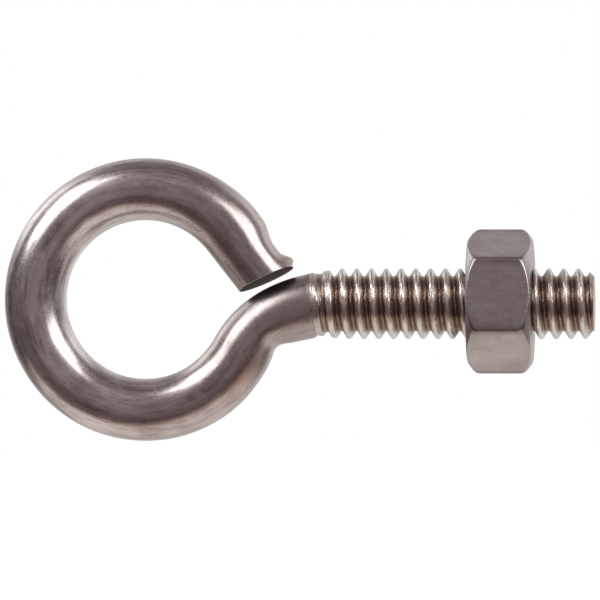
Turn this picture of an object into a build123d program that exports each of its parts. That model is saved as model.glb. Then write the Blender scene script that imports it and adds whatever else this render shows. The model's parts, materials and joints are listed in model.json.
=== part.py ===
from build123d import *
import math
import os

# A stainless wire eye bolt with an offset neck, and one hex nut on its rolled 1/4-20 UNC thread.
# Frame: the origin is the centre of the eye, +X runs along the shank to the threaded tip, +Z is up,
# and the eye lies in the XZ plane. Millimetres.

# Wire and eye
wire_radius = 2.675
eye_radius = 9.5  # of the wire's centre line
end_angle = 38.0  # where the eye leaves its circle and runs straight to the cut end
end_length = 6.6  # straight stretch before the cut, overlong so that the cut crosses all of it
overall_length = 50.8  # from the outside of the eye to the tip

# Neck and shank
shank_drop = 0.36  # how far the shank's axis lies below the eye's centre
neck_radius = 8.13

# Cut end of the wire
cut_point = (10.62, 0.0, 1.75)
cut_slope = 25.0  # degrees the cut face climbs towards the shank
cut_turn = 3.0  # degrees it faces towards -Y

# Thread: 1/4-20 UNC, right-handed
pitch = 1.27
major_radius = 3.06
minor_radius = 2.375
crest_phase = 16.96  # an x at which a crest crosses the top of the bolt
crest_width = 0.16
flank_angle = 30.0
buried = 0.15  # how far the rolled ridge is sunk into the core
tip_radius = 2.35
tip_chamfer = 0.72
run_out_x = (14.8, 15.7, 17.0)  # the crest grows from the bare wire to full height
run_out_radius = (2.6, 2.8, major_radius)
core_taper_x = (15.5, 16.1)  # the root sinks from the bare wire to full depth
core_taper_radius = 2.3

# Nut
nut_x = 27.8  # the face nearer the eye
nut_height = 5.56
nut_across_flats = 10.87
nut_roll = 6.0  # degrees the nut is turned from having a corner straight up
nut_corner = 0.25
nut_chamfer_angle = 37.0
nut_face_radius = 5.3
nut_bore_radius = 2.55
nut_groove_radius = 3.175
countersink_radius = 3.35
flank_clearance = 0.06

# The nut's bearing face, a ring let into the end nearer the eye
ring_inner = 3.6
ring_outer = 4.95
ring_depth = 0.4
ring_clearance = 0.03

tip_x = overall_length - eye_radius - wire_radius
neck_x = math.sqrt((eye_radius + neck_radius) ** 2 - (neck_radius + shank_drop) ** 2)
neck_angle = math.degrees(math.atan2(neck_radius + shank_drop, neck_x))
shank_axis = Axis((0, 0, -shank_drop), (1, 0, 0))
shank_plane = Plane(origin=(0, 0, -shank_drop), x_dir=(1, 0, 0), z_dir=(0, -1, 0))


def across(x, roll=0.0):
    """The plane square to the shank at x, its own x pointing up and rolled by some degrees towards +Y."""
    up = (0, math.sin(math.radians(roll)), math.cos(math.radians(roll)))
    return Plane(origin=(x, 0, -shank_drop), x_dir=up, z_dir=(1, 0, 0))


def thread_ridge(start_turn, turns, inner, outer, outer_width):
    """A helical ridge whose middle crosses the top of the bolt at crest_phase + whole pitches."""
    spread = outer_width / 2 + (outer - inner) * math.tan(math.radians(flank_angle))
    with BuildPart() as ridge:
        with BuildLine() as path:
            start = (crest_phase + start_turn * pitch, 0, -shank_drop)
            Helix(pitch=pitch, height=turns * pitch, radius=inner, center=start, direction=(1, 0, 0))
        with BuildSketch(Plane(origin=path.line @ 0, x_dir=(0, 0, 1), z_dir=path.line % 0)):
            with BuildLine():
                Polyline(
                    (0, -spread),
                    (outer - inner, -outer_width / 2),
                    (outer - inner, outer_width / 2),
                    (0, spread),
                    close=True,
                )
            make_face()
        sweep(is_frenet=True)
    return ridge.part


os.makedirs("parts", exist_ok=True)

# ---- Eye bolt: the free end of the eye, trimmed by the cut ----
end_start = eye_radius * Vector(math.cos(math.radians(end_angle)), 0, math.sin(math.radians(end_angle)))
end_way = Vector(math.sin(math.radians(end_angle)), 0, -math.cos(math.radians(end_angle)))
cut_normal = Vector(0, 0, -1).rotate(Axis.X, cut_turn).rotate(Axis.Y, -cut_slope)
with BuildPart() as free_end:
    with BuildSketch(Plane(origin=end_start, z_dir=end_way)):
        Circle(wire_radius)
    extrude(amount=end_length)
    split(bisect_by=Plane(origin=cut_point, z_dir=cut_normal), keep=Keep.BOTTOM)

# ---- Eye bolt: the threaded end of the shank ----
first_turn = -2
ridge_turns = math.ceil((tip_x - crest_phase) / pitch) - first_turn
clear_radius = 1.2 * major_radius  # outside the whole thread
run_out_slope = (run_out_radius[2] - run_out_radius[1]) / (run_out_x[2] - run_out_x[1])
run_out_end = run_out_x[1] + (clear_radius - run_out_radius[1]) / run_out_slope
chamfer_start = tip_x - tip_chamfer * (clear_radius - tip_radius) / (major_radius - tip_radius)
with BuildPart() as threaded_end:
    with BuildSketch(across(run_out_x[0])):
        Circle(minor_radius)
    extrude(amount=tip_x + pitch - run_out_x[0])
    add(thread_ridge(first_turn, ridge_turns, minor_radius - buried, major_radius, crest_width))
    with BuildSketch(shank_plane):
        with BuildLine():
            Polyline(
                (run_out_x[0], 0),
                (run_out_x[0], run_out_radius[0]),
                (run_out_x[1], run_out_radius[1]),
                (run_out_end, clear_radius),
                (chamfer_start, clear_radius),
                (tip_x, tip_radius),
                (tip_x, 0),
                close=True,
            )
        make_face()
    revolve(axis=shank_axis, mode=Mode.INTERSECT)

# ---- Eye bolt: wire bent into the eye and neck, down to the first threads ----
with BuildPart() as eye_bolt:
    with BuildLine(Plane.XZ) as bend:
        CenterArc((0, 0), eye_radius, end_angle, 360 - neck_angle - end_angle)
        CenterArc(
            (neck_x, -neck_radius - shank_drop), neck_radius, 180 - neck_angle, neck_angle - 90
        )
    with BuildSketch(Plane(origin=end_start, z_dir=end_way)):
        Circle(wire_radius)
    sweep(path=bend.line)
    with BuildSketch(shank_plane):
        with BuildLine():
            Polyline(
                (neck_x, 0),
                (neck_x, wire_radius),
                (core_taper_x[0], wire_radius),
                (core_taper_x[1], core_taper_radius),
                (core_taper_x[1], 0),
                close=True,
            )
        make_face()
    revolve(axis=shank_axis)
    add(threaded_end.part)
    add(free_end.part)
eye_bolt.part.label = "eye_bolt"
export_step(eye_bolt.part, "parts/eye_bolt.step")

# ---- Hex nut ----
corner_reach = nut_across_flats / math.sqrt(3)
chamfer_drop = (corner_reach - nut_face_radius) * math.tan(math.radians(nut_chamfer_angle))
groove_narrowing = 2 * (nut_groove_radius - major_radius) * math.tan(math.radians(flank_angle))
groove_width = crest_width - groove_narrowing + 2 * flank_clearance
groove_turn = math.floor((nut_x - crest_phase) / pitch) - 1
groove_turns = math.ceil(nut_height / pitch) + 2
with BuildPart() as tapped_hole:
    with BuildSketch(across(crest_phase + (groove_turn - 1) * pitch)):
        Circle(nut_bore_radius)
    extrude(amount=(groove_turns + 2) * pitch)
    add(
        thread_ridge(
            groove_turn, groove_turns, nut_bore_radius - buried, nut_groove_radius, groove_width
        )
    )
with BuildPart() as hex_nut:
    with BuildSketch(across(nut_x, nut_roll)) as hexagon:
        RegularPolygon(corner_reach, 6)
        fillet(hexagon.vertices(), nut_corner)
    extrude(amount=nut_height)
    with BuildSketch(shank_plane):
        with BuildLine():
            Polyline(
                (nut_x, 0),
                (nut_x, nut_face_radius),
                (nut_x + chamfer_drop, corner_reach),
                (nut_x + nut_height - chamfer_drop, corner_reach),
                (nut_x + nut_height, nut_face_radius),
                (nut_x + nut_height, 0),
                close=True,
            )
        make_face()
    revolve(axis=shank_axis, mode=Mode.INTERSECT)
    add(tapped_hole.part, mode=Mode.SUBTRACT)
    for face_x, inward in ((nut_x, 1), (nut_x + nut_height, -1)):
        with BuildSketch(shank_plane):
            with BuildLine():
                Polyline(
                    (face_x, 0),
                    (face_x, countersink_radius),
                    (face_x + inward * countersink_radius, 0),
                    close=True,
                )
            make_face()
        revolve(axis=shank_axis, mode=Mode.SUBTRACT)
    with BuildSketch(across(nut_x)):
        Circle(ring_outer + ring_clearance)
        Circle(ring_inner - ring_clearance, mode=Mode.SUBTRACT)
    extrude(amount=ring_depth + ring_clearance, mode=Mode.SUBTRACT)
hex_nut.part.label = "hex_nut"
export_step(hex_nut.part, "parts/hex_nut.step")

# ---- Bearing face of the nut ----
with BuildPart() as nut_bearing_face:
    with BuildSketch(across(nut_x)):
        Circle(ring_outer)
        Circle(ring_inner, mode=Mode.SUBTRACT)
    extrude(amount=ring_depth)
nut_bearing_face.part.label = "nut_bearing_face"
export_step(nut_bearing_face.part, "parts/nut_bearing_face.step")
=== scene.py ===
import functools
import json
import math

import bpy
import numpy as np
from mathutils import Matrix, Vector


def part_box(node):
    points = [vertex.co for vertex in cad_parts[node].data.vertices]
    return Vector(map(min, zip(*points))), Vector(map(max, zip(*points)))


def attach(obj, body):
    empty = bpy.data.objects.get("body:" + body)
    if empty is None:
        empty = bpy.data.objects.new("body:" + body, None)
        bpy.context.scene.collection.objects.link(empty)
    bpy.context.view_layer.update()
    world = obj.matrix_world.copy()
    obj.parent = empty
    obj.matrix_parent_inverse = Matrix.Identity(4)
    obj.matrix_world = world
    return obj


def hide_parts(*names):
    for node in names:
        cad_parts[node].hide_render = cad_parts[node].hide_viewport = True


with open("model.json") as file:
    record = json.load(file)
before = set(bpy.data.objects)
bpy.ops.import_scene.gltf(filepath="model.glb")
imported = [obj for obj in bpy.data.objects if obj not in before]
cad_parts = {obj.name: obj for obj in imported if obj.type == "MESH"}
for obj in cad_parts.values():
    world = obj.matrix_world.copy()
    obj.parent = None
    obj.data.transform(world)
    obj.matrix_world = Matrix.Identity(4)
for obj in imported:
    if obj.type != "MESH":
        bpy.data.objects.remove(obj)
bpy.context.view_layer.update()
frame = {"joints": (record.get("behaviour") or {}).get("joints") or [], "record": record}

MM = 0.001
MOUNTS = {m["name"]: m for m in frame["record"]["mounts"]}
TURN_JOINT = next(j for j in frame["joints"] if j["name"] == "nut_turn")
BOLT_LOW, BOLT_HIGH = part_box("eye_bolt")
NUT_LOW, NUT_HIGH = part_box("hex_nut")

# Wire, eye and neck, in metres
EYE_INNER = MOUNTS["eye"]["dims"]["r_mm"] * MM
EYE_OUTER = -BOLT_LOW[0]
WIRE = (EYE_OUTER - EYE_INNER) / 2
EYE = EYE_OUTER - WIRE  # radius of the wire's centre line round the eye
DROP = -TURN_JOINT["pos_m"][2]  # the shank's axis below the eye's centre
NECK = 8.13 * MM
NECK_X = math.sqrt((EYE + NECK) ** 2 - (NECK + DROP) ** 2)
NECK_ANGLE = math.atan2(NECK + DROP, NECK_X)
END_ANGLE = math.radians(38.0)  # where the eye leaves its circle and runs straight to the cut
END_LENGTH = 5.1 * MM
CUT_NORMAL = Vector((0.42, -0.09, -0.905)).normalized()
LEAN_LENGTH = 3.0 * MM  # rows this near the cut lean with it, less and less
TIP_X = BOLT_HIGH[0]

# Lengths along the wire's centre line
EYE_LENGTH = EYE * (2 * math.pi - NECK_ANGLE - END_ANGLE)
NECK_LENGTH = NECK * (math.pi / 2 - NECK_ANGLE)
LENGTH = END_LENGTH + EYE_LENGTH + NECK_LENGTH + TIP_X - NECK_X

# Unevenness of the bare wire: height, number of waves, range of their lengths in mm, most lobes
WIRE_WAVES = (0.006 * MM, 14, (3.0, 9.0), 3)
WIRE_RIPPLES = (0.0012 * MM, 16, (0.8, 2.4), 6)

# Bumps of the tightly bent neck: height, distance from the eye and half width, all in mm
NECK_INSIDE = ((-0.54, 2.65, 1.4), (-0.1, -0.5, 2.2), (0.22, 7.0, 2.0))
NECK_OUTSIDE = (-0.11, 5.2, 2.6)

# The pinched outer side at the cut, its flared lip and the lip's edge: height, distance from the
# eye's circle towards the cut and run, all in mm, and half width round the wire in radians
CUT_STEPS = ((-0.56, 0.85, 2.35, 0.85), (0.56, 4.0, 1.1, 0.55), (-0.4, 5.1, 0.6, 0.45))

# Thread
PITCH = 1.27 * MM
CREST_X = 16.96 * MM  # a crest crosses the top of the bolt here
MAJOR = MOUNTS["shank"]["dims"]["r_mm"] * MM - 0.02 * MM
CREST_HALF = 0.1  # in pitches
FLANK = math.tan(math.radians(30.0))
THREAD_X = 13.9 * MM  # the close rows begin here
BLEND_X, BLEND_RUN = 14.0, 0.9  # in mm, where the bare wire turns into the thread
THREAD_STEEL_X = 14.5 * MM  # the thread's own material begins here
RUN_OUT_X, RUN_OUT_R = (14.2, 14.7, 15.6, 17.0, 18.4), (2.67, 2.73, 2.82, 3.06, 3.32)  # in mm
ROOT_X, ROOT_R = (14.3, 15.1, 16.1), (2.675, 2.57, 2.34)  # in mm
THREAD_SOFTNESS = 0.03 * MM  # rounds the crests where the run-out and the chamfer cut them
TIP_RADIUS = 2.35 * MM
TIP_SLOPE = 0.985

# Rows and columns of the bolt's mesh, and the rings that close its ends
COLUMNS = 112
CUT_ROWS, CUT_ROW = 2.4 * MM, 0.06 * MM
BEND_ROW = 0.22 * MM
THREAD_ROWS = 26 * 19
CAP_SHARES = (0.97, 0.9, 0.8, 0.65, 0.5, 0.35, 0.2, 0.08, 0.01)
CAP_DISH = 0.12 * MM

# Nut
NUT_X0, NUT_X1 = NUT_LOW[0], NUT_HIGH[0]
NUT_APOTHEM = 10.87 / 2 * MM
NUT_ROLL = math.radians(6.0)
NUT_ROUNDING = 0.4 * MM
NUT_FACE = 5.3 * MM
NUT_CHAMFER = math.tan(math.radians(37.0))
NUT_MINOR = 2.55 * MM
NUT_MAJOR = 3.175 * MM
NUT_COUNTERSINK = 3.35 * MM
NUT_SINK_STEP = 0.2 * MM
NUT_BORE_INSET = 0.25 * MM
NUT_BORE_ROWS = 116
NUT_RISE = 0.2 * MM  # the hexagon sits this far off the thread's axis
NUT_RISE_RUN = 1.5 * MM
NUT_SINK_EDGE, NUT_FACE_EDGE = 0.06 * MM, 0.16 * MM  # sizes of the rounded edges
NUT_WORN = (0.09, 0.32, 0.1)  # rounding in mm, what a corner adds, over what half width in radians
NUT_COLUMNS = (0.35, 0.75, 1.15, 1.5, 1.8, 2.2, 3.5, 7, 12, 18, 24)  # degrees off each corner

# Studio
SUBJECT = Vector((13.2, 0, 0)) * MM
VIEW_CENTRE = Vector((13.335, 0, -0.04)) * MM
VIEW_WIDTH = 51.56 * MM
VIEW_AZIMUTH = math.radians(4.3)
LENS, SENSOR = 500.0, 36.0
FLOOR_HALF = 0.6
FLOOR_GAP = 0.012
FLOOR_GLOW = 0.75
BOX_DISTANCE, BOX_POWER, BOX_COLOUR = 0.5, 0.86, (1, 0.98, 0.96)


def smooth(t):
    t = np.clip(t, 0.0, 1.0)
    return t * t * (3.0 - 2.0 * t)


def soft_clamp(t, softness=0.14):
    """t held between 0 and 1, with both corners rounded."""
    lifted = 0.5 * (t + np.sqrt(t * t + softness * softness))
    over = 1.0 - lifted
    return 1.0 - 0.5 * (over + np.sqrt(over * over + softness * softness))


def soft_min(a, b, softness):
    return 0.5 * (a + b - np.sqrt((a - b) ** 2 + softness * softness))


def hump(value, centre, width):
    return np.exp(-(((value - centre) / width) ** 2))


def ridge(x, around, root, crest):
    """The thread's radius at x and an angle measured from the top towards the front."""
    turns = (x - CREST_X) / PITCH - around / (2 * math.pi)
    off_crest = np.abs(turns - np.round(turns))
    flank_share = (crest - root) * FLANK / PITCH
    return root + (crest - root) * soft_clamp(1.0 - (off_crest - CREST_HALF) / flank_share)


def waves(seed, along, around, count, along_range, around_max):
    """A smooth random field on a tube, about -1 to 1: a sum of sines that close round it."""
    draw = np.random.default_rng(seed)
    total = np.zeros(np.broadcast(along, around).shape)
    for _ in range(count):
        per_metre = 2 * math.pi / (draw.uniform(*along_range) * MM)
        lobes = int(draw.integers(0, around_max + 1))
        phase = draw.uniform(0, 2 * math.pi, 2)
        total += np.sin(along * per_metre + phase[0]) * np.cos(around * lobes + phase[1])
    return total / math.sqrt(count)


def grid_mesh(name, points, closed_rows, attributes):
    """A mesh from rows of points that close round each row, with smooth shading."""
    rows, columns = points.shape[:2]
    index = np.arange(rows * columns).reshape(rows, columns)
    following = np.roll(index, -1, axis=0) if closed_rows else index[1:]
    lower = index if closed_rows else index[:-1]
    quads = np.stack(
        [lower, np.roll(lower, -1, axis=1), np.roll(following, -1, axis=1), following], axis=-1
    ).reshape(-1, 4)
    ends = [] if closed_rows else [index[0][::-1].tolist(), index[-1].tolist()]
    mesh = bpy.data.meshes.new(name)
    mesh.from_pydata(points.reshape(-1, 3).tolist(), [], quads.tolist() + ends)
    for label, values in attributes.items():
        is_place = values.ndim == 3
        layer = mesh.attributes.new(label, "FLOAT_VECTOR" if is_place else "FLOAT", "POINT")
        layer.data.foreach_set("vector" if is_place else "value", values.astype(np.float32).ravel())
    mesh.shade_smooth()
    mesh.update()
    piece = bpy.data.objects.new(name, mesh)
    bpy.context.scene.collection.objects.link(piece)
    return piece


# ---- The bent and threaded wire ----
def wire_line(along):
    """Centre line and heading of the wire, from the cut end round the eye and out to the tip."""
    past_end = along - END_LENGTH
    past_eye = past_end - EYE_LENGTH
    past_neck = past_eye - NECK_LENGTH
    end_x, end_z = EYE * math.cos(END_ANGLE), EYE * math.sin(END_ANGLE)
    end_dx, end_dz = -math.sin(END_ANGLE), math.cos(END_ANGLE)
    a = END_ANGLE + past_end / EYE
    b = math.pi - NECK_ANGLE - past_eye / NECK
    end = (end_x + end_dx * past_end, end_z + end_dz * past_end, end_dx, end_dz)
    eye = (EYE * np.cos(a), EYE * np.sin(a), -np.sin(a), np.cos(a))
    neck = (NECK_X + NECK * np.cos(b), -NECK - DROP + NECK * np.sin(b), np.sin(b), -np.cos(b))
    shank = (NECK_X + past_neck, -DROP, 1.0, 0.0)
    where = [along < END_LENGTH, along < END_LENGTH + EYE_LENGTH, past_neck < 0]
    return [np.select(where, [end[k], eye[k], neck[k]], shank[k]) for k in range(4)]


def wire_rows(thread_start):
    """Places of the rows along the wire: close at the cut and along the thread."""
    cut_rows = np.arange(0.0, CUT_ROWS, CUT_ROW)
    bend_rows = np.arange(CUT_ROWS, thread_start, BEND_ROW)
    thread_rows = np.linspace(thread_start, LENGTH, THREAD_ROWS)
    return np.concatenate([cut_rows, bend_rows, thread_rows])[:, None]


def rolled_thread(x, around):
    """The thread's radius, from its run-out of the bare wire to the tip's chamfer."""
    run_out = np.interp(x / MM, RUN_OUT_X, RUN_OUT_R) * MM
    chamfer = TIP_RADIUS + (TIP_X - x) * TIP_SLOPE
    root = np.interp(x / MM, ROOT_X, ROOT_R) * MM
    return soft_min(ridge(x, around, root, MAJOR), np.minimum(run_out, chamfer), THREAD_SOFTNESS)


def cap(rim, centre, dish):
    """Rings of shrinking radius that close an end, with its middle pushed in."""
    return np.stack([centre + (rim - centre) * s + dish * (1 - s * s) for s in CAP_SHARES])


def build_bolt():
    thread_start = LENGTH - (TIP_X - THREAD_X)
    along = wire_rows(thread_start)
    around = np.linspace(0, 2 * math.pi, COLUMNS, endpoint=False)[None, :]
    x, z, dx, dz = wire_line(along)
    on_shank = along > LENGTH / 2

    # the bare wire, a little uneven from drawing and bending
    uneven = 0.0
    for seed, (height, *sizes) in ((3, WIRE_WAVES), (5, WIRE_RIPPLES)):
        uneven = uneven + height * waves(seed, along, around, *sizes)
    radius = WIRE + uneven * smooth((thread_start + 1.5 * MM - along) / (3.0 * MM))

    # tightly bent inside of the neck: hollow before the corner, full after it
    into_neck = (along - END_LENGTH - EYE_LENGTH) / MM
    under = hump(around, math.pi, 0.95)
    over = hump(np.minimum(around, 2 * math.pi - around), 0, 0.9)
    for height, centre, width in NECK_INSIDE:
        radius = radius + height * MM * under * hump(into_neck, centre, width)
    height, centre, width = NECK_OUTSIDE
    radius = radius + height * MM * over * hump(into_neck, centre, width)

    # the cut leans, so rows near it lean too
    nx, nz = -dz, dx
    n = CUT_NORMAL

    def lean(r):
        wx, wy, wz = r * np.cos(around) * nx, -r * np.sin(around), r * np.cos(around) * nz
        out = -(wx * n.x + wy * n.y + wz * n.z) / (dx * n.x + dz * n.z)
        return np.where(along < LEAN_LENGTH, out * (1 - smooth(along / LEAN_LENGTH)), 0.0)

    # slightly full, then pinched outer side, and flared lip at the cut
    depth = (END_LENGTH - along - lean(WIRE)) / MM  # from the eye's circle towards the cut
    outer = np.abs(around - math.pi)
    radius = radius + 0.09 * MM * hump(depth, -0.5, 1.8) * hump(outer, 0, 0.9)
    for height, start, run, width in CUT_STEPS:
        radius = radius + height * MM * smooth((depth - start) / run) * hump(outer, 0, width)

    # mix is 0 on the bare wire and 1 on the rolled thread
    mix = np.where(on_shank, smooth((x / MM - BLEND_X) / BLEND_RUN), 0.0)
    radius = radius * (1 - mix) + rolled_thread(x, around) * mix

    shift = lean(radius)
    across, up = radius * np.cos(around), -radius * np.sin(around) + 0 * x
    points = np.stack([x + across * nx + dx * shift, up, z + across * nz + dz * shift], axis=-1)

    # rougher places whose colour is also painted darker: the thread's root, painted shade in its
    # recess; the neck, darker in two places; and, with the caps below, the sheared face, with a
    # painted dark reflection
    rough_and_painted_dark = mix * smooth((MAJOR - radius - 0.08 * MM) / (0.55 * MM))
    rough_and_painted_dark = rough_and_painted_dark + 0.1 * (1 - mix) * hump(into_neck, 6.5, 3.5)
    rough_and_painted_dark = rough_and_painted_dark + 0.2 * (1 - mix) * over * hump(into_neck, 3.5, 2.5)

    # painted dark reflection bands along the near side of the eye
    turn = np.degrees((along - END_LENGTH) / EYE) + math.degrees(END_ANGLE)
    near_side = around - 0.5 * math.pi
    painted_dark_reflection = 0.62 * hump(turn, 145, 17) * hump(near_side, 0.03, 0.13)
    painted_dark_reflection = painted_dark_reflection + 0.55 * hump(turn, 306, 19) * hump(near_side, 0.0, 0.17)
    painted_dark_reflection = painted_dark_reflection + 0.6 * hump(turn, 180, 34) * hump(near_side, 0.88, 0.1)
    painted_dark_reflection = painted_dark_reflection * (1 - mix)
    # a painted brown reflection in the neck's corner
    brown_reflection_and_patch = 0.8 * hump(turn, 322, 10) * hump(around, 2.1, 0.24) * (1 - mix)
    # a brown patch on the outer side of the lip
    brown_reflection_and_patch = brown_reflection_and_patch + 0.55 * hump(depth, 5.2, 0.55) * hump(outer, 0, 0.6)

    # both ends are closed, a little dished
    start_cap = cap(points[0], points[0].mean(axis=0), -np.array(CUT_NORMAL) * CAP_DISH)[::-1]
    end_cap = cap(points[-1], np.array([TIP_X, 0.0, -DROP]), np.array([-CAP_DISH, 0, 0]))
    points = np.concatenate([start_cap, points, end_cap])
    cap_rows = np.zeros(len(CAP_SHARES))

    def with_caps(values, at_cut=0.0):
        rows = np.ones((len(CAP_SHARES), COLUMNS))
        return np.concatenate([at_cut * rows, values, 0 * rows])

    # where each point was on the straight wire, in mm, for the streaks of drawing
    run = np.concatenate([cap_rows + along[0], along[:, 0], cap_rows + along[-1]])[:, None] / MM
    out = WIRE / MM * np.concatenate([CAP_SHARES[::-1], np.ones(len(along)), CAP_SHARES])[:, None]
    drawn = np.stack([run + 0 * around, out * np.cos(around), out * np.sin(around)], axis=-1)
    marks = {
        "drawn": drawn,
        # the sheared face at the cut is rougher and painted near black, a painted dark reflection
        "rough_and_painted_dark": with_caps(rough_and_painted_dark, at_cut=1.0),
        "painted_dark_reflection": with_caps(painted_dark_reflection),
        "brown_reflection_and_patch": with_caps(brown_reflection_and_patch),
    }
    bolt = grid_mesh("bent_wire_bolt", points, False, marks)

    # the first slot is the bare wire and both ends, the second the rolled thread
    threaded = ((x > THREAD_STEEL_X) & on_shank)[:-1, 0]
    row_slot = np.concatenate([cap_rows, threaded, cap_rows])
    face_slot = np.append(np.repeat(row_slot, COLUMNS), [0, 0]).astype(np.int32)
    bolt.data.materials.append(wire_steel())
    bolt.data.materials.append(thread_steel())
    bolt.data.polygons.foreach_set("material_index", face_slot)
    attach(bolt, "bolt")
    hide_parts("eye_bolt")


# ---- The nut ----
def from_corner(angle):
    """The angle to the nearest of the nut's corners, where angles start at one of them."""
    return np.abs((angle + math.pi / 6) % (math.pi / 3) - math.pi / 6)


def hexagon(angle):
    """Radius of the nut's outline, with rounded corners, at an angle from one of its corners."""
    corner = (NUT_APOTHEM - NUT_ROUNDING) / math.cos(math.pi / 6)
    off = from_corner(angle)
    edge = math.atan2(NUT_ROUNDING / 2, corner + NUT_ROUNDING * math.cos(math.pi / 6))
    arc = corner * np.cos(off) + np.sqrt(
        np.maximum(NUT_ROUNDING**2 - (corner * np.sin(off)) ** 2, 0.0)
    )
    return np.where(off < edge, arc, NUT_APOTHEM / np.cos(math.pi / 6 - off))


def rounded_profile(corners, sizes, steps=5):
    """Joins (x, r) corners, each an array over the nut's columns, and rounds every inner corner."""
    rows = [corners[0]]
    for before, here, after, size in zip(corners, corners[1:], corners[2:], sizes):
        back, ahead = before - here, after - here
        back_length = np.linalg.norm(back, axis=-1, keepdims=True)
        ahead_length = np.linalg.norm(ahead, axis=-1, keepdims=True)
        reach = np.minimum(size, 0.45 * np.minimum(back_length, ahead_length))
        start, end = here + back / back_length * reach, here + ahead / ahead_length * reach
        rows.append(start + (start - here) * 0.1)
        for t in np.linspace(0, 1, steps):
            rows.append(start * (1 - t) ** 2 + here * 2 * t * (1 - t) + end * t**2)
        rows.append(end + (end - here) * 0.1)
    rows.append(corners[-1])
    return rows


def build_nut():
    sixth = np.radians([-30, *(-a for a in reversed(NUT_COLUMNS)), 0, *NUT_COLUMNS])
    angle = np.concatenate([sixth + k * math.pi / 3 for k in range(6)])
    off_corner = from_corner(angle)
    hex_radius = hexagon(angle)
    drop = np.maximum(hex_radius - NUT_FACE, 0.02 * MM) * NUT_CHAMFER
    flat = np.ones_like(angle)

    def corner(x, r):
        return np.stack([x * flat, r * flat], axis=-1)

    # the outside, from one countersink over the hexagon to the other
    least, more, width = NUT_WORN
    worn = (least + more * hump(off_corner, 0, width))[:, None] * MM
    outer = rounded_profile(
        [
            corner(NUT_X0 + NUT_SINK_STEP, NUT_COUNTERSINK - NUT_SINK_STEP),
            corner(NUT_X0, NUT_COUNTERSINK),
            corner(NUT_X0, NUT_FACE),
            corner(NUT_X0 + drop, hex_radius),
            corner(NUT_X1 - drop, hex_radius),
            corner(NUT_X1, NUT_FACE),
            corner(NUT_X1, NUT_COUNTERSINK),
            corner(NUT_X1 - NUT_SINK_STEP, NUT_COUNTERSINK - NUT_SINK_STEP),
        ],
        [NUT_SINK_EDGE, NUT_FACE_EDGE, worn, worn, NUT_FACE_EDGE, NUT_SINK_EDGE],
    )

    # the threaded bore and its countersinks
    bore_x = np.linspace(NUT_X1 - NUT_BORE_INSET, NUT_X0 + NUT_BORE_INSET, NUT_BORE_ROWS)[:, None]
    around = angle[None, :] - NUT_ROLL
    wall = ridge(bore_x, around, NUT_MINOR, NUT_MAJOR)
    sink = NUT_COUNTERSINK - np.minimum(bore_x - NUT_X0, NUT_X1 - bore_x)
    bore = [corner(row_x, row_r) for row_x, row_r in zip(bore_x[:, 0], np.maximum(wall, sink))]

    # angles run from the top towards the front, and the nut's first corner leans back from the top
    px, pr = np.moveaxis(np.stack(outer + bore), -1, 0)
    rise = NUT_RISE * smooth((pr - NUT_COUNTERSINK) / NUT_RISE_RUN)
    points = np.stack([px, -pr * np.sin(around), rise - DROP + pr * np.cos(around)], axis=-1)
    edge = hump(off_corner, 0.03, 0.035) * smooth((pr / hex_radius - 0.95) / 0.04)
    nut = grid_mesh("machined_nut", points, True, {"edge": edge})
    nut.data.materials.append(nut_steel())
    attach(nut, "nut")
    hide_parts("hex_nut", "nut_bearing_face")


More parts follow.
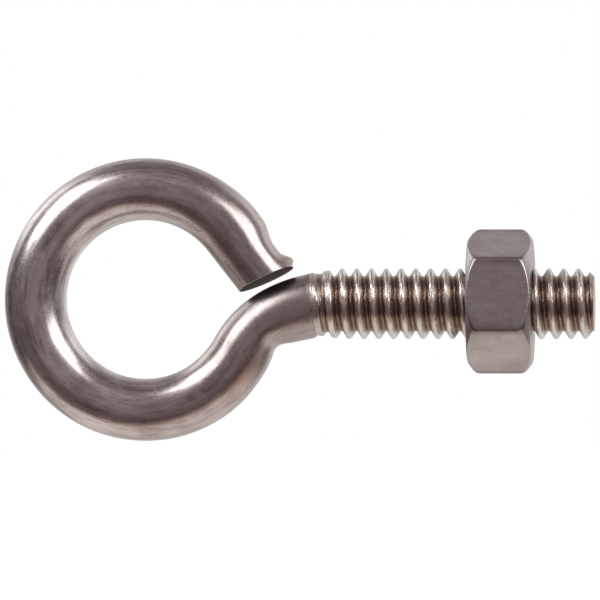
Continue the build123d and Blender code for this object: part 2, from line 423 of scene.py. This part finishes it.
# ---- Materials ----
class Graph:
    """A node tree, with a short call for each kind of node used here."""

    def __init__(self, tree):
        self.nodes, self.links = tree.nodes, tree.links

    def put(self, value, socket):
        """Links an output to the socket, or sets it to a number or a colour."""
        if isinstance(value, bpy.types.NodeSocket):
            self.links.new(value, socket)
        else:
            socket.default_value = (*value, 1) if isinstance(value, tuple) else value

    def noise(self, vector, scale, detail, roughness=0.5):
        made = self.nodes.new("ShaderNodeTexNoise")
        made.inputs["Scale"].default_value = scale
        made.inputs["Detail"].default_value = detail
        made.inputs["Roughness"].default_value = roughness
        self.links.new(vector, made.inputs["Vector"])
        return made.outputs["Fac"]

    def stretched(self, vector, scale):
        made = self.nodes.new("ShaderNodeMapping")
        made.inputs["Scale"].default_value = scale
        self.links.new(vector, made.inputs["Vector"])
        return made.outputs["Vector"]

    def place(self):
        """The object's own coordinates, in mm."""
        own = self.nodes.new("ShaderNodeTexCoord").outputs["Object"]
        return self.stretched(own, (1 / MM,) * 3)

    def split(self, vector):
        made = self.nodes.new("ShaderNodeSeparateXYZ")
        self.links.new(vector, made.inputs["Vector"])
        return made.outputs

    def remap(self, value, low, high, to_low=0, to_high=1):
        made = self.nodes.new("ShaderNodeMapRange")
        made.inputs["From Min"].default_value = low
        made.inputs["From Max"].default_value = high
        made.inputs["To Min"].default_value = to_low
        made.inputs["To Max"].default_value = to_high
        self.links.new(value, made.inputs["Value"])
        return made.outputs["Result"]

    def ramp(self, value, *stops):
        made = self.nodes.new("ShaderNodeValToRGB")
        first, last = made.color_ramp.elements[0], made.color_ramp.elements[1]
        first.position, first.color = stops[0][0], (*stops[0][1], 1)
        last.position, last.color = stops[-1][0], (*stops[-1][1], 1)
        for position, colour in stops[1:-1]:
            made.color_ramp.elements.new(position).color = (*colour, 1)
        self.links.new(value, made.inputs["Fac"])
        return made.outputs["Color"]

    def attribute(self, label, output="Fac"):
        made = self.nodes.new("ShaderNodeAttribute")
        made.attribute_name = label
        return made.outputs[output]

    def mix(self, share, below, above):
        made = self.nodes.new("ShaderNodeMix")
        made.data_type = "RGBA"
        made.clamp_factor = True
        self.links.new(share, made.inputs[0])
        self.put(below, made.inputs[6])
        self.put(above, made.inputs[7])
        return made.outputs[2]

    def maths(self, operation, *values):
        made = self.nodes.new("ShaderNodeMath")
        made.operation = operation
        for value, socket in zip(values, made.inputs):
            self.put(value, socket)
        return made.outputs[0]

    def bump(self, height, strength, distance):
        made = self.nodes.new("ShaderNodeBump")
        made.inputs["Strength"].default_value = strength
        made.inputs["Distance"].default_value = distance
        self.links.new(height, made.inputs["Height"])
        return made.outputs["Normal"]


def new_metal(name):
    material = bpy.data.materials.new(name)
    material.use_nodes = True
    shader = material.node_tree.nodes["Principled BSDF"]
    shader.inputs["Metallic"].default_value = 1.0
    return material, Graph(material.node_tree), shader.inputs


def wire_steel():
    """Drawn and bent stainless wire: fine streaks along it, clouded satin, painted dark reflection
    bands, a painted brown reflection at the neck and a brown patch at the lip.
    """
    material, graph, surface = new_metal("wire_steel")
    streak_brown, shank_side_brown = (0.37, 0.31, 0.3), (0.36, 0.3, 0.29)
    dark_reflection_black, reflection_and_patch_brown = (0.09, 0.065, 0.06), (0.5, 0.29, 0.2)
    painted_dark_grey = (0.13, 0.105, 0.096)
    place = graph.place()
    streaks = graph.noise(
        graph.stretched(graph.attribute("drawn", "Vector"), (0.14, 1.0, 1.0)), 3.2, 5, 0.6
    )
    grain = graph.noise(place, 2.6, 4, 0.65)
    colour = graph.ramp(
        graph.noise(place, 0.3, 4, 0.55),
        (0.3, (0.54, 0.5, 0.495)),
        (0.5, (0.8, 0.765, 0.765)),
        (0.7, (0.94, 0.92, 0.92)),
    )
    colour = graph.mix(graph.remap(streaks, 0.46, 0.68, 0, 0.75), colour, streak_brown)
    # browner towards the shank, along x
    towards_shank = graph.remap(graph.split(place)["X"], -12, 12, 0, 0.62)
    colour = graph.mix(towards_shank, colour, shank_side_brown)
    blotches = graph.remap(graph.noise(place, 1.1, 3, 0.6), 0.38, 0.62, 0.35, 1.25)
    # painted dark reflection bands, mottled by the blotches
    painted_dark_reflection = graph.maths("MULTIPLY", graph.attribute("painted_dark_reflection"), blotches)
    colour = graph.mix(painted_dark_reflection, colour, dark_reflection_black)
    # a painted brown reflection at the neck and a brown patch at the lip, mottled by the blotches
    brown_reflection_and_patch = graph.maths("MULTIPLY", graph.attribute("brown_reflection_and_patch"), blotches)
    colour = graph.mix(brown_reflection_and_patch, colour, reflection_and_patch_brown)
    # painted shade in the thread's root, a painted dark reflection on the sheared face and darker
    # places on the neck, all rougher too
    rough_and_painted_dark = graph.attribute("rough_and_painted_dark")
    graph.put(graph.mix(rough_and_painted_dark, colour, painted_dark_grey), surface["Base Color"])
    satin = graph.remap(grain, 0.3, 0.7, 0.2, 0.31)
    rough = graph.maths("ADD", satin, graph.remap(rough_and_painted_dark, 0, 1, 0, 0.55))
    graph.put(rough, surface["Roughness"])
    relief = graph.maths("ADD", streaks, grain)
    graph.put(graph.bump(relief, 0.085, 0.012 * MM), surface["Normal"])
    return material


def thread_steel():
    """Rolled thread: painted shade in its root, and fine lines round it that spread its highlights.
    """
    material, graph, surface = new_metal("thread_steel")
    painted_root_shade = (0.34, 0.255, 0.21)
    place = graph.place()
    lines = graph.noise(graph.stretched(place, (6.5, 0.5, 0.5)), 2.0, 1, 0.5)
    clean = graph.ramp(
        graph.noise(place, 0.6, 4, 0.6),
        (0.3, (0.68, 0.63, 0.6)),
        (0.5, (0.8, 0.76, 0.725)),
        (0.7, (0.9, 0.87, 0.84)),
    )
    # painted shade in the thread's root
    graph.put(graph.mix(graph.attribute("rough_and_painted_dark"), clean, painted_root_shade), surface["Base Color"])
    graph.put(graph.remap(lines, 0.3, 0.7, 0.23, 0.29), surface["Roughness"])
    graph.put(graph.bump(lines, 1.0, 0.058 * MM), surface["Normal"])
    return material


def nut_steel():
    """Machined hexagon bar: faint lines along the axis, cloudy satin faces, darker brown just off
    the corners.
    """
    material, graph, surface = new_metal("nut_steel")
    line_brown, edge_brown = (0.38, 0.335, 0.325), (0.2, 0.15, 0.14)
    place = graph.place()
    lines = graph.noise(graph.stretched(place, (0.16, 1.6, 1.6)), 2.0, 3, 0.5)
    grain = graph.noise(place, 2.6, 3, 0.5)
    colour = graph.ramp(
        graph.noise(place, 0.32, 4, 0.6),
        (0.3, (0.405, 0.37, 0.369)),
        (0.5, (0.508, 0.475, 0.473)),
        (0.7, (0.6, 0.567, 0.562)),
    )
    colour = graph.mix(graph.remap(lines, 0.5, 0.8, 0, 0.4), colour, line_brown)
    edge = graph.remap(graph.attribute("edge"), 0, 1, 0, 0.55)
    graph.put(graph.mix(edge, colour, edge_brown), surface["Base Color"])
    graph.put(graph.remap(grain, 0.3, 0.7, 0.25, 0.36), surface["Roughness"])
    relief = graph.maths("ADD", lines, grain)
    graph.put(graph.bump(relief, 0.1, 0.012 * MM), surface["Normal"])
    return material


# ---- Studio ----
def studio_world():
    """White to the eye, and in reflections a dim warm room with a pale ground and backdrop."""
    world = bpy.data.worlds.new("studio")
    bpy.context.scene.world = world
    world.use_nodes = True
    world.node_tree.nodes.clear()
    graph = Graph(world.node_tree)
    nodes = graph.nodes
    side, depth, height = graph.split(nodes.new("ShaderNodeTexCoord").outputs["Generated"])

    def share(value, low, high):
        made = graph.remap(value, low, high)
        made.node.interpolation_type = "SMOOTHSTEP"
        return made

    def both(*shares):
        return functools.reduce(lambda a, b: graph.maths("MULTIPLY", a, b), shares)

    room = graph.ramp(
        graph.remap(height, -1, 1),
        (0.0, (0.09, 0.066, 0.064)),
        (0.5, (0.13, 0.098, 0.096)),
        (0.69, (0.29, 0.24, 0.235)),
        (0.84, (0.33, 0.28, 0.275)),
        (1.0, (0.19, 0.155, 0.152)),
    )
    left_wall, behind_camera = (0.12, 0.095, 0.092), (0.27, 0.22, 0.217)
    room = graph.mix(share(side, -0.7, -1.0), room, left_wall)
    room = graph.mix(share(depth, -0.8, -1.0), room, behind_camera)

    # the pale ground, brown along its near edge, which runs a little askew
    ground_brown, ground_beige = (0.42, 0.27, 0.21), (0.76, 0.69, 0.635)
    outward = graph.maths("ABSOLUTE", side)
    slant = graph.maths("MULTIPLY_ADD", side, 0.36, depth)
    near_edge = graph.maths("MULTIPLY_ADD", outward, -0.1, slant)
    low = share(height, -0.42, -0.66)
    room = graph.mix(both(low, share(near_edge, -0.71, -0.53)), room, ground_brown)
    room = graph.mix(both(low, share(near_edge, -0.58, -0.42)), room, ground_beige)

    # the backdrop, brighter towards the right, and glows on both sides above it
    backdrop = graph.ramp(
        graph.remap(side, -1, 1),
        (0.1, (0.3, 0.275, 0.265)),
        (0.35, (0.62, 0.58, 0.56)),
        (0.55, (0.68, 0.64, 0.62)),
        (0.8, (1, 0.97, 0.95)),
    )
    room = graph.mix(share(depth, 0.3, 0.95), room, backdrop)
    left_glow, right_glow, right_wall = (1.6, 1.55, 1.52), (1.0, 0.97, 0.95), (0.6, 0.57, 0.56)
    glow = both(share(depth, 0.1, 0.45), share(height, 0.1, 0.45), share(outward, 0.35, 0.7))
    room = graph.mix(glow, room, graph.mix(share(side, -0.2, 0.2), left_glow, right_glow))
    room = graph.mix(both(share(side, 0.7, 1.0), share(depth, 0.05, 0.6)), room, right_wall)

    seen = nodes.new("ShaderNodeBackground")
    seen.inputs["Color"].default_value = (1, 1, 1, 1)
    lit = nodes.new("ShaderNodeBackground")
    graph.put(room, lit.inputs["Color"])
    choose = nodes.new("ShaderNodeMixShader")
    graph.put(nodes.new("ShaderNodeLightPath").outputs["Is Camera Ray"], choose.inputs[0])
    graph.put(lit.outputs[0], choose.inputs[1])
    graph.put(seen.outputs[0], choose.inputs[2])
    graph.put(choose.outputs[0], nodes.new("ShaderNodeOutputWorld").inputs["Surface"])


def softbox(name, direction, size):
    """A rectangular area light in a direction from the object, facing it."""
    light = bpy.data.lights.new(name, "AREA")
    light.shape = "RECTANGLE"
    light.size, light.size_y = size
    light.energy = BOX_POWER
    light.color = BOX_COLOUR
    lamp = bpy.data.objects.new(name, light)
    way = Vector(direction).normalized()
    lamp.location = SUBJECT + way * BOX_DISTANCE
    lamp.rotation_mode = "QUATERNION"
    lamp.rotation_quaternion = way.to_track_quat("Z", "Y")
    bpy.context.scene.collection.objects.link(lamp)


def pale_floor():
    mesh = bpy.data.meshes.new("floor")
    half, level = FLOOR_HALF, BOLT_LOW[2] - FLOOR_GAP
    mesh.from_pydata(
        [(-half, -half, level), (half, -half, level), (half, half, level), (-half, half, level)],
        [],
        [(0, 1, 2, 3)],
    )
    floor = bpy.data.objects.new("floor", mesh)
    bpy.context.scene.collection.objects.link(floor)
    material = bpy.data.materials.new("pale_floor")
    material.use_nodes = True
    shader = material.node_tree.nodes["Principled BSDF"]
    shader.inputs["Base Color"].default_value = (0.9, 0.9, 0.9, 1)
    shader.inputs["Roughness"].default_value = 0.9
    shader.inputs["Specular IOR Level"].default_value = 0.0
    shader.inputs["Emission Color"].default_value = (1, 1, 1, 1)
    shader.inputs["Emission Strength"].default_value = FLOOR_GLOW
    mesh.materials.append(material)
    floor.visible_glossy = False


def camera():
    back = Vector((math.sin(VIEW_AZIMUTH), -math.cos(VIEW_AZIMUTH), 0))
    data = bpy.data.cameras.new("camera")
    data.lens, data.sensor_width = LENS, SENSOR
    data.clip_end = 10.0
    eye = bpy.data.objects.new("camera", data)
    eye.location = VIEW_CENTRE + back * (VIEW_WIDTH * LENS / SENSOR)
    eye.rotation_mode = "QUATERNION"
    eye.rotation_quaternion = (-back).to_track_quat("-Z", "Y")
    bpy.context.scene.collection.objects.link(eye)
    bpy.context.scene.camera = eye


build_bolt()
build_nut()

studio_world()
softbox("upper_left", (-0.66, -0.43, 0.615), (0.31, 0.32))
softbox("upper_right", (0.71, -0.515, 0.48), (0.35, 0.28))
pale_floor()
camera()
bpy.context.scene.view_settings.view_transform = "Standard"
